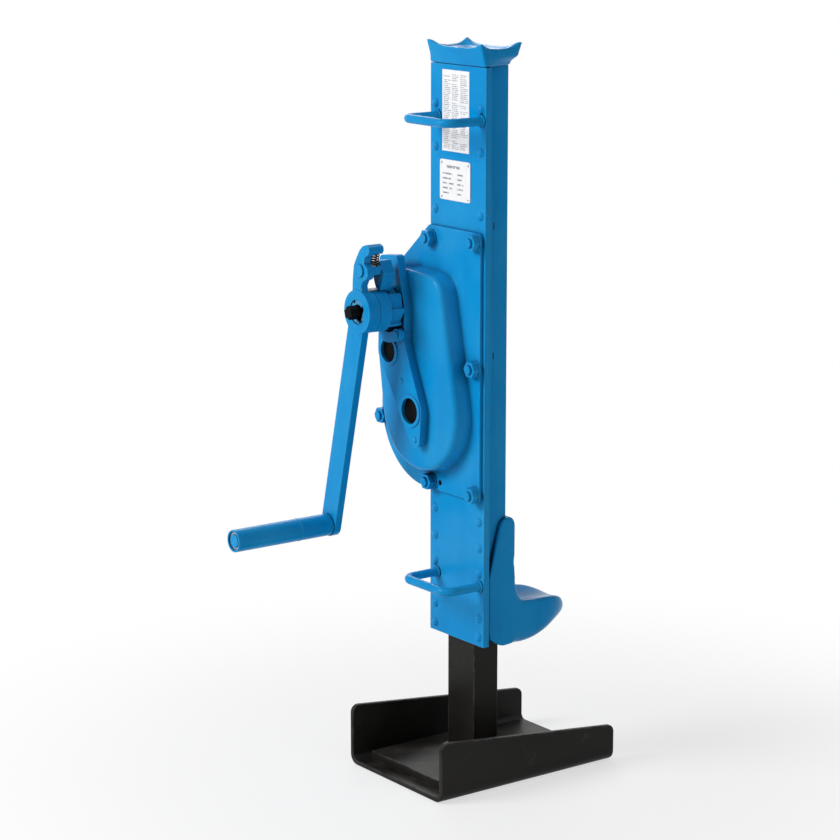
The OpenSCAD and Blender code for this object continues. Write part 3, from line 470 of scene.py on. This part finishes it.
def oiled_steel_painted_shade():
    """Blackened shaft steel under old dark oil, near-black and barely shiny so that it also paints in the
    shade of the bores round the shaft ends
    """
    made = Finish("blackened_steel_painted_shade")
    oil = made.noise(60, 4).ramp(0.4, 0.75)
    return made.set(
        # Near-black: painted shade of the bores, with patches of dark oil
        Base_Color=made.mix(oil, (0.002, 0.002, 0.002), (0.006, 0.0057, 0.0054)),
        Roughness=0.5 + oil * 0.2,
        Normal=made.bump(made.noise(150, 3), 0.25, 0.4 * MM),
        Specular_IOR_Level=0.06,
    )


def bare_steel(name, colour, rough, shine=1.0):
    """Machined or plated metal with fine turning lines and a film of oil"""
    made = Finish(name)
    line = made.noise(260, 2, at=made.stretched(1, 7, 1))
    oil = made.noise(45, 4).ramp(0.4, 0.75)
    return made.set(
        Base_Color=made.mix(oil * 0.6, colour, mixed(colour, (0.03, 0.028, 0.025), 0.6)),
        Metallic=shine,
        Roughness=rough + oil * 0.12 + line * 0.06,
        Normal=made.bump(line, 0.12, 0.3 * MM),
    )


def printed_film():
    """White film with columns of short ruled lines"""
    props = bpy.context.scene.track_jack_print
    low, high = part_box("instruction_label")
    width = high.x - low.x
    printed = 0.94 * width
    side = (width - printed) / 2
    head, foot, edge = 4.5 * MM, 3 * MM, 2 * MM
    words, column_step = 15.0, 71.0

    made = Finish("printed_film")
    x, _, z = made.axes()
    column = (x - (low.x + side)) * (props.columns / printed)
    across = column.part()
    line = (high.z - z) / props.line_pitch
    length = made.draw("3D", Vector=made.cell(column.whole(), line.whole(), 0.37))
    row = line.whole() + column.whole() * column_step
    word = made.draw("2D", Vector=made.cell((across * words).whole(), row))
    filled = (across > 0.05) * (across < 0.55 + length * 0.42) * (length > 0.10)
    rows = (line.part() > 0.30) * (line.part() < 0.74)
    inside = (z < high.z - head) * (z > low.z + foot) * (x > low.x + edge) * (x < high.x - edge)
    ink = filled * rows * (word > 0.17) * inside
    paper = made.mix(made.noise(30, 3).ramp(0.4, 0.8) * 0.4, (0.90, 0.90, 0.91), (0.80, 0.81, 0.82))
    return made.set(
        Base_Color=made.mix(ink * 0.72, paper, tuple(props.ink)),
        Roughness=0.34 + made.noise(60, 2) * 0.1,
        Normal=made.bump(made.noise(90, 2), 0.05, 0.2 * MM),
    )


def printed_plate():
    """Pale plate with a heavier heading line, ruled lines and short entries at the right"""
    props = bpy.context.scene.track_jack_print
    low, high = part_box("rating_plate")
    first_line, heading_top, heading_foot = 13 * MM, 6.3 * MM, 9.3 * MM
    lines, letters_across = 5.0, 46.0

    made = Finish("printed_plate")
    x, _, z = made.axes()
    across = (x - low.x) / (high.x - low.x)
    line = (high.z - first_line - z) / props.plate_pitch
    row = line.whole()
    length = made.draw("1D", W=row + 3.7)
    letters = made.draw("2D", Vector=made.cell((across * letters_across).whole(), row))
    rows = (line.part() > 0.34) * (line.part() < 0.66) * (line > 0.0) * (line < lines)
    left = (across > 0.10) * (across < 0.34 + length * 0.12)
    right = (across > 0.58) * (across < 0.70 + length * 0.10)
    heading = (z < high.z - heading_top) * (z > high.z - heading_foot) * (across > 0.22) * (across < 0.66)
    ink = (rows * (left + right) * (letters > 0.22) + heading * 0.9 * (letters > 0.12)).clamped()
    sheet = made.mix(made.noise(40, 3).ramp(0.35, 0.8) * 0.5, (0.86, 0.86, 0.87), (0.74, 0.75, 0.77))
    return made.set(
        Base_Color=made.mix(ink * 0.8, sheet, tuple(props.ink)),
        Metallic=0.15,
        Roughness=0.36 + made.noise(70, 2) * 0.12,
        Normal=made.bump(made.noise(120, 2), 0.05, 0.2 * MM),
    )


# Each finish with the record's slot for it, what makes it and what that is told
FINISHES = {
    "blue": ("blue_paint", blue_paint),
    "light": ("light_blue_paint", light_paint),
    "black": ("black_paint", black_paint),
    "weld": ("black_paint", weld_scale),
    "dark": ("dark_steel", oiled_steel_painted_shade),
    "spring": ("spring_steel", bare_steel, "spring_wire", (0.03, 0.03, 0.032), 0.38, 0.8),
    "gear": ("dark_steel", bare_steel, "gear_steel", (0.28, 0.285, 0.29), 0.34),
    "zinc": ("zinc_steel", bare_steel, "zinc_steel", (0.50, 0.51, 0.53), 0.30),
    "bronze": ("bronze", bare_steel, "bearing_bronze", (0.50, 0.34, 0.14), 0.35),
    "film": ("label_film", printed_film),
    "plate": ("rating_sheet", printed_plate),
}


@functools.cache
def finish_of(key):
    """A finish's material, made the first time that a piece asks for it"""
    _, make, *told = FINISHES[key]
    return make(*told)


def wear_finish(obj, key):
    obj.data.materials.clear()
    obj.data.materials.append(finish_of(key))


def keep(node, key):
    """A CAD node that stays, with its own finish"""
    wear_finish(NODES[node], key)


def linked(name, data):
    """A new object in the scene"""
    made = bpy.data.objects.new(name, data)
    bpy.context.scene.collection.objects.link(made)
    return made


def stand_for(piece, node, key):
    """Puts a finished piece in a CAD node's place, on its body"""
    wear_finish(piece, key)
    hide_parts(node)
    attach(piece, NODES[node]["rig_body"])


@contextlib.contextmanager
def opened(mesh):
    """A mesh as a bmesh, which is written back at the end"""
    shape = bmesh.new()
    shape.from_mesh(mesh)
    yield shape
    shape.to_mesh(mesh)
    shape.free()


def shade_smooth(mesh, sharp=math.pi):
    """Shades a mesh smooth, but for its edges that bend more than sharp"""
    mesh.polygons.foreach_set("use_smooth", [True] * len(mesh.polygons))
    if sharp < math.pi:
        mesh.set_sharp_from_angle(angle=sharp)


def bake_modifiers(obj):
    """Turns an object's modifiers into its mesh"""
    graph = bpy.context.evaluated_depsgraph_get()
    mesh = bpy.data.meshes.new_from_object(obj.evaluated_get(graph))
    old = obj.data
    obj.modifiers.clear()
    obj.data = mesh
    bpy.data.meshes.remove(old)


def rounded(node, key, width=None, segments=2, angle=35):
    """Stands for a CAD node: the same solid with its cut edges rounded"""
    mesh = NODES[node].data.copy()
    piece = linked(node + "_body", mesh)
    with opened(mesh) as shape:
        bmesh.ops.remove_doubles(shape, verts=shape.verts, dist=0.002 * MM)
        bmesh.ops.dissolve_limit(
            shape, angle_limit=math.radians(0.4), verts=shape.verts, edges=shape.edges,
            use_dissolve_boundaries=False,
        )
    shade_smooth(mesh, math.radians(angle))
    bevel = piece.modifiers.new("edge", "BEVEL")
    bevel.width = width or bpy.context.scene.track_jack_paint.edge
    bevel.segments = segments
    bevel.limit_method = "ANGLE"
    bevel.angle_limit = math.radians(angle)
    bevel.harden_normals = True
    bevel.miter_outer = "MITER_ARC"
    bake_modifiers(piece)
    stand_for(piece, node, key)


def soften(piece, rounds, share=None):
    """Smooths a mesh; share gives how much of it each vertex takes"""
    soft = piece.modifiers.new("soft", "SMOOTH")
    soft.factor = 0.5
    soft.iterations = rounds
    if share:
        group = piece.vertex_groups.new(name="share")
        for vertex in piece.data.vertices:
            group.add([vertex.index], share(vertex.co), "REPLACE")
        soft.vertex_group = group.name
    bake_modifiers(piece)


def fit_to_box(mesh, box):
    """Stretches a mesh along each axis until it fills a box"""
    points = [vertex.co for vertex in mesh.vertices]
    for axis in range(3):
        low = min(point[axis] for point in points)
        high = max(point[axis] for point in points)
        grow = (box[1][axis] - box[0][axis]) / (high - low)
        for point in points:
            point[axis] = box[0][axis] + (point[axis] - low) * grow
    mesh.update()


def forged(node, key, voxel, rounds, shape=None):
    """Stands for a CAD node: the same solid with the soft edges of a forging, in the node's box"""
    piece = linked(node + "_body", NODES[node].data.copy())
    remesh = piece.modifiers.new("skin", "REMESH")
    remesh.mode = "VOXEL"
    remesh.voxel_size = voxel
    soften(piece, rounds)
    if shape:
        shape(piece)
    fit_to_box(piece.data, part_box(node))
    shade_smooth(piece.data)
    stand_for(piece, node, key)


def new_piece(name, verts, faces, key, body):
    """A piece that the CAD doesn't have, from its own faces"""
    mesh = bpy.data.meshes.new(name)
    mesh.from_pydata(verts, [], faces)
    with opened(mesh) as shape:
        bmesh.ops.recalc_face_normals(shape, faces=shape.faces)
    shade_smooth(mesh, math.radians(50))
    piece = linked(name, mesh)
    wear_finish(piece, key)
    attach(piece, body)
    return piece


def tube(name, path, radius, key, body, sides=12, closed=False, ripple=0.0, pitch=3 * MM):
    """A round bar swept along a path; ripple makes the scales of a weld"""
    aside = Vector((0.13, 0.21, 1))  # Lies along no stretch of any path
    count = len(path)
    verts = []
    run = 0.0
    for i, point in enumerate(path):
        before = path[i - 1] if closed or i else path[0]
        after = path[(i + 1) % count] if closed or i + 1 < count else path[-1]
        run += (point - path[i - 1]).length if i else 0.0
        along = (after - before).normalized()
        side = along.cross(aside).normalized()
        up = along.cross(side)
        size = radius * (1 + ripple * math.sin(2 * math.pi * run / pitch))
        for k in range(sides):
            turn = 2 * math.pi * k / sides
            verts.append(point + size * (math.cos(turn) * side + math.sin(turn) * up))
    faces = []
    for i in range(count if closed else count - 1):
        here, there = i * sides, (i + 1) % count * sides
        for k in range(sides):
            following = (k + 1) % sides
            faces.append((here + k, here + following, there + following, there + k))
    if not closed:
        faces += [tuple(range(sides)), tuple(range((count - 1) * sides, count * sides))]
    return new_piece(name, verts, faces, key, body)


def loop_through(corners, step=0.8 * MM):
    """A closed path with a point at each step from corner to corner"""
    path = []
    for i, corner in enumerate(corners):
        following = corners[(i + 1) % len(corners)]
        count = max(2, int((following - corner).length / step))
        path += [corner.lerp(following, k / count) for k in range(count)]
    return path


def circle(centre, radius, points):
    """A closed path round a line along Y"""
    turns = [2 * math.pi * i / points for i in range(points)]
    return [centre + radius * Vector((math.cos(turn), 0, math.sin(turn))) for turn in turns]


class TRACKJACK_OT_foot(bpy.types.Operator):
    """Rounds and paints the channel foot, its doubler plate and the rack, and welds the rack's root"""

    bl_idname = "track_jack.foot"
    bl_label = "Foot and Rack"

    def execute(self, context):
        rounded("foot_channel", "black", 1.2 * MM, segments=3)
        rounded("foot_doubler", "black", 0.8 * MM)
        rounded("rack", "black", 0.8 * MM)
        self.weld_rack()
        return {"FINISHED"}

    def weld_rack(self):
        """Lays a rippled bead round the rack, in the place of the CAD's plain one"""
        seat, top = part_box("weld_bead")
        leg = 0.8 * (top.z - seat.z)
        out = 0.42 * leg
        low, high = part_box("rack")
        left, right = low.x - out, high.x + out
        front, back = low.y - out, high.y + out
        level = seat.z + 0.4 * leg
        ring = [(left, front), (right, front), (right, back), (left, back)]
        path = loop_through([Vector((x, y, level)) for x, y in ring])
        bead = tube("rack_weld", path, 0.62 * leg, "weld", "base", sides=14, closed=True, ripple=0.09)
        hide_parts("weld_bead")


class TRACKJACK_OT_housing(bpy.types.Operator):
    """Paints the front plate, the rack channel and the gear case, and finishes the guides inside"""

    bl_idname = "track_jack.housing"
    bl_label = "Housing"

    def execute(self, context):
        rounded("front_plate", "blue", 0.7 * MM)
        rounded("rack_channel", "blue", 1.1 * MM, segments=3)
        rounded("gear_case", "blue")
        rounded("plate_rivets", "blue", 0.3 * MM, segments=1)
        for node in ("lower_guide", "upper_guide", "thrust_plate"):
            keep(node, "bronze")
        return {"FINISHED"}


class TRACKJACK_OT_cover(bpy.types.Operator):
    """Paints the gear cover with its dome, the bearing bracket and the fasteners round them"""

    bl_idname = "track_jack.cover"
    bl_label = "Gear Cover"

    def execute(self, context):
        rounded("gear_cover", "blue", angle=42)
        rounded("bearing_bracket", "blue", 1.0 * MM, segments=3)
        rounded("cover_nuts", "blue", 0.5 * MM)
        rounded("cover_washers", "blue", 0.4 * MM)
        rounded("cover_studs", "blue", 0.7 * MM)
        rounded("bracket_pins", "blue", 0.3 * MM, segments=1)
        rounded("rear_bushes", "blue", 0.5 * MM)
        return {"FINISHED"}


class TRACKJACK_OT_head(bpy.types.Operator):
    """Rounds and paints the four-pronged head"""

    bl_idname = "track_jack.head"
    bl_label = "Head"

    def execute(self, context):
        forged("head", "blue", voxel=1.0 * MM, rounds=52)
        return {"FINISHED"}


class TRACKJACK_OT_claw(bpy.types.Operator):
    """Rounds and paints the claw, with the blunt lip of its toe"""

    bl_idname = "track_jack.claw"
    bl_label = "Claw"

    def execute(self, context):
        forged("claw", "blue", voxel=1.6 * MM, rounds=16, shape=self.blunt_toe)
        return {"FINISHED"}

    def blunt_toe(self, piece):
        """Blends the toe into the cheeks, rolls its rim over and lets its tip droop"""
        low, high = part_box("claw")
        root = low.y + 0.43 * (high.y - low.y)
        reach = high.y - root
        droop = 9 * MM
        blend_y, blend_over = 10 * MM, 24 * MM
        upright_z, upright_over = low.z + 88 * MM, 22 * MM

        def share(point):
            """0 on the cheeks and their uprights, 1 on the toe"""
            outward = min(1, max(0, (point.y - blend_y) / blend_over))
            return outward * min(1, max(0, (upright_z - point.z) / upright_over))

        soften(piece, 110, share)
        for vertex in piece.data.vertices:
            out = max(0, (vertex.co.y - root) / reach)
            vertex.co.z -= droop * out ** 3


class TRACKJACK_OT_handles(bpy.types.Operator):
    """Paints the carrying handles and lays a weld round each of their roots"""

    bl_idname = "track_jack.handles"
    bl_label = "Carrying Handles"

    def execute(self, context):
        bead, proud = 1.15 * MM, 1.2 * MM
        plate_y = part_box("front_plate")[0].y
        for node in ("upper_handle", "lower_handle"):
            rounded(node, "blue", 0.4 * MM, segments=1)
            low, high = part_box(node)
            root = (high.z - low.z) / 2
            rod = root / 1.3
            for side, x in (("left", low.x + root), ("right", high.x - root)):
                centre = Vector((x, plate_y - proud, (low.z + high.z) / 2))
                tube(
                    f"{node}_{side}_weld", circle(centre, 1.2 * rod, 72), bead, "blue", "housing",
                    sides=10, closed=True, ripple=0.14, pitch=2.6 * MM,
                )
        return {"FINISHED"}


class TRACKJACK_OT_labels(bpy.types.Operator):
    """Prints plain ruled lines on the tall label and on the rating plate"""

    bl_idname = "track_jack.labels"
    bl_label = "Labels"

    def execute(self, context):
        keep("instruction_label", "film")
        rounded("rating_plate", "plate", 0.2 * MM)
        rounded("rating_plate_pins", "zinc", 0.1 * MM, segments=1)
        return {"FINISHED"}


class TRACKJACK_OT_gears(bpy.types.Operator):
    """Finishes the gears and shafts inside the case"""

    bl_idname = "track_jack.gears"
    bl_label = "Gear Train"

    def execute(self, context):
        for node in ("main_gear", "intermediate_gear"):
            keep(node, "gear")
        for node in ("pinion_shaft", "intermediate_shaft"):
            # The shafts' near-black finish also paints the shade of their bores
            rounded(node, "dark", 0.8 * MM)
        return {"FINISHED"}


class TRACKJACK_OT_crank(bpy.types.Operator):
    """Paints the crank, its hub, rings and grip, and gives its spindle the near-black finish that also
    paints the shade of its bore
    """

    bl_idname = "track_jack.crank"
    bl_label = "Crank"

    def execute(self, context):
        rounded("crank_arm", "blue", 1.1 * MM, segments=3)
        rounded("jaw_ring", "blue")
        rounded("ratchet_wheel", "blue")
        rounded("grip_sleeve", "blue", 1.0 * MM, segments=3)
        rounded("shaft_nut", "light", 0.6 * MM)
        # The spindle's near-black finish also paints the shade of its bore
        rounded("crank_shaft", "dark", 0.6 * MM)
        rounded("grip_axle", "blue", 0.6 * MM)
        rounded("grip_washer", "zinc", 0.3 * MM)
        self.band_grip()
        return {"FINISHED"}

    def band_grip(self):
        """A shallow rolled band a third of the way along the grip"""
        low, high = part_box("grip_sleeve")
        centre = (low + high) / 2
        centre.y = high.y - 0.33 * (high.y - low.y)
        sunk = 0.2 * MM
        path = circle(centre, (high.x - low.x) / 2 - sunk, 60)
        tube("grip_band", path, 0.6 * MM, "blue", NODES["grip_sleeve"]["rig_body"], sides=8, closed=True)


class TRACKJACK_OT_pawls(bpy.types.Operator):
    """Paints the two pawls and their pins, and winds the drive pawl's spring"""

    bl_idname = "track_jack.pawls"
    bl_label = "Pawls and Spring"

    def execute(self, context):
        rounded("drive_pawl", "blue", 0.8 * MM)
        rounded("stop_pawl", "blue", 0.6 * MM)
        rounded("drive_pawl_pin", "blue", 0.6 * MM)
        rounded("stop_pawl_pin", "blue", 0.4 * MM)
        self.wind_spring()
        return {"FINISHED"}

    def wind_spring(self):
        """The spring leans with the crank's arm, from the pawl's shoulder up to the tongue"""
        turns, steps_per_turn = 5, 22
        wire = 0.75 * MM
        length = 15.6 * MM - 2 * wire
        lean = math.radians(13.4)
        axis = Vector((math.sin(lean), 0, math.cos(lean)))
        side = Vector((math.cos(lean), 0, -math.sin(lean)))
        across = Vector((0, 1, 0))
        low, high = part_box("pawl_spring")
        middle = (low + high) / 2
        radius = (high.y - low.y) / 2 - wire
        steps = turns * steps_per_turn
        path = []
        for i in range(steps + 1):
            turn = 2 * math.pi * i / steps_per_turn
            rise = axis * length * (i / steps - 0.5)
            path.append(middle + rise + radius * (math.cos(turn) * side + math.sin(turn) * across))
        coil = tube("pawl_spring_coil", path, wire, "spring", "crank", sides=10)
        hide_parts("pawl_spring")
        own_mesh(coil)


class TRACKJACK_OT_stage(bpy.types.Operator):
    """Sets the camera, a pale floor and plain soft light"""

    bl_idname = "track_jack.stage"
    bl_label = "Stage"

    # Name, place, height of the point aimed at, width, and power against the key lamp
    LAMPS = (
        ("key", (-1.1, -3.0, 2.3), 0.45, 1.8, 1.0),
        ("side", (3.4, 0.6, 2.0), 0.45, 1.8, 0.08),
        ("back", (-2.8, 1.6, 2.2), 0.5, 1.6, 0.2),
    )

    def execute(self, context):
        props = context.scene.track_jack_stage
        self.camera(context, props)
        self.sky(context, props)
        self.floor()
        for name, place, height, width, share in self.LAMPS:
            self.lamp(name, Vector(place), Vector((0, 0, height)), width, props.key * share)
        context.scene.view_settings.view_transform = "Standard"
        return {"FINISHED"}

    def camera(self, context, props):
        data = bpy.data.cameras.new("camera")
        data.lens = props.lens
        data.sensor_width = 36
        data.clip_end = 50
        turn, tilt = props.turn, props.tilt
        ahead = Vector((-math.sin(turn) * math.cos(tilt), math.cos(turn) * math.cos(tilt), -math.sin(tilt)))
        right = Vector((math.cos(turn), math.sin(turn), 0))
        axes = Matrix((right, right.cross(ahead), -ahead)).transposed()
        camera = linked("camera", data)
        camera.matrix_world = Matrix.Translation(props.place) @ axes.to_4x4()
        context.scene.camera = camera

    def sky(self, context, props):
        """Plain white to the eye, and dimmer where it lights the jack"""
        world = bpy.data.worlds.new("sky")
        world.use_nodes = True
        world.node_tree.nodes.clear()
        context.scene.world = world
        made = NodeTools(world.node_tree)
        light = made.glow("ShaderNodeBackground", props.sky)
        backdrop = made.glow("ShaderNodeBackground", 1.0)
        made.show(made.mix_shaders(made.seen(), light, backdrop), "ShaderNodeOutputWorld")

    def floor(self):
        """A pale floor that fades to white away from the jack, and keeps its shadow"""
        reach, drop = 30, 0.4 * MM
        near = 0.62
        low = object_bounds()[0].z - drop
        corners = [(-reach, -reach, low), (reach, -reach, low), (reach, reach, low), (-reach, reach, low)]
        mesh = bpy.data.meshes.new("floor")
        mesh.from_pydata(corners, [], [(0, 1, 2, 3)])
        made = Finish("pale_floor")
        mesh.materials.append(made.set(Base_Color=(0.94, 0.94, 0.94), Roughness=0.85))
        away = made.node("ShaderNodeVectorMath", {"operation": "LENGTH"}, {0: made.place()}, "Value")
        white = (near + (1 - near) * away.ramp(0.25, 0.8)) * made.seen()
        lit = Output(made, made.shader.outputs[0])
        glow = made.glow("ShaderNodeEmission", 1.0)
        made.show(made.mix_shaders(white, lit, glow), "ShaderNodeOutputMaterial")
        linked("floor", mesh)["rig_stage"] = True

    def lamp(self, name, place, aim, width, power):
        data = bpy.data.lights.new(name, "AREA")
        data.shape = "DISK"
        data.size = width
        data.energy = power
        lamp = linked(name, data)
        lamp.location = place
        lamp.rotation_mode = "QUATERNION"
        lamp.rotation_quaternion = (aim - place).to_track_quat("-Z", "Y")


STEPS = (
    TRACKJACK_OT_foot, TRACKJACK_OT_housing, TRACKJACK_OT_cover, TRACKJACK_OT_head, TRACKJACK_OT_claw,
    TRACKJACK_OT_handles, TRACKJACK_OT_labels, TRACKJACK_OT_gears, TRACKJACK_OT_crank, TRACKJACK_OT_pawls,
    TRACKJACK_OT_stage,
)
GROUPS = {
    "track_jack_paint": TRACKJACK_PG_paint,
    "track_jack_print": TRACKJACK_PG_print,
    "track_jack_stage": TRACKJACK_PG_stage,
}


class TRACKJACK_PT_panel(bpy.types.Panel):
    """Lists the settings and the steps of the track jack"""

    bl_idname = "TRACKJACK_PT_panel"
    bl_label = "Track Jack"
    bl_space_type = "VIEW_3D"
    bl_region_type = "UI"
    bl_category = "Track Jack"

    def draw(self, context):
        for name, group in GROUPS.items():
            box = self.layout.box()
            for prop in group.__annotations__:
                box.prop(getattr(context.scene, name), prop)
        for step in STEPS:
            self.layout.operator(step.bl_idname)


def register():
    for kind in (*GROUPS.values(), *STEPS, TRACKJACK_PT_panel):
        bpy.utils.register_class(kind)
    for name, group in GROUPS.items():
        setattr(bpy.types.Scene, name, PointerProperty(type=group))


def unregister():
    for name in GROUPS:
        delattr(bpy.types.Scene, name)
    for kind in (TRACKJACK_PT_panel, *reversed(STEPS), *GROUPS.values()):
        bpy.utils.unregister_class(kind)


def main():
    register()
    for step in STEPS:
        getattr(bpy.ops.track_jack, step.bl_idname.split(".")[1])()


if __name__ == "__main__":
    main()
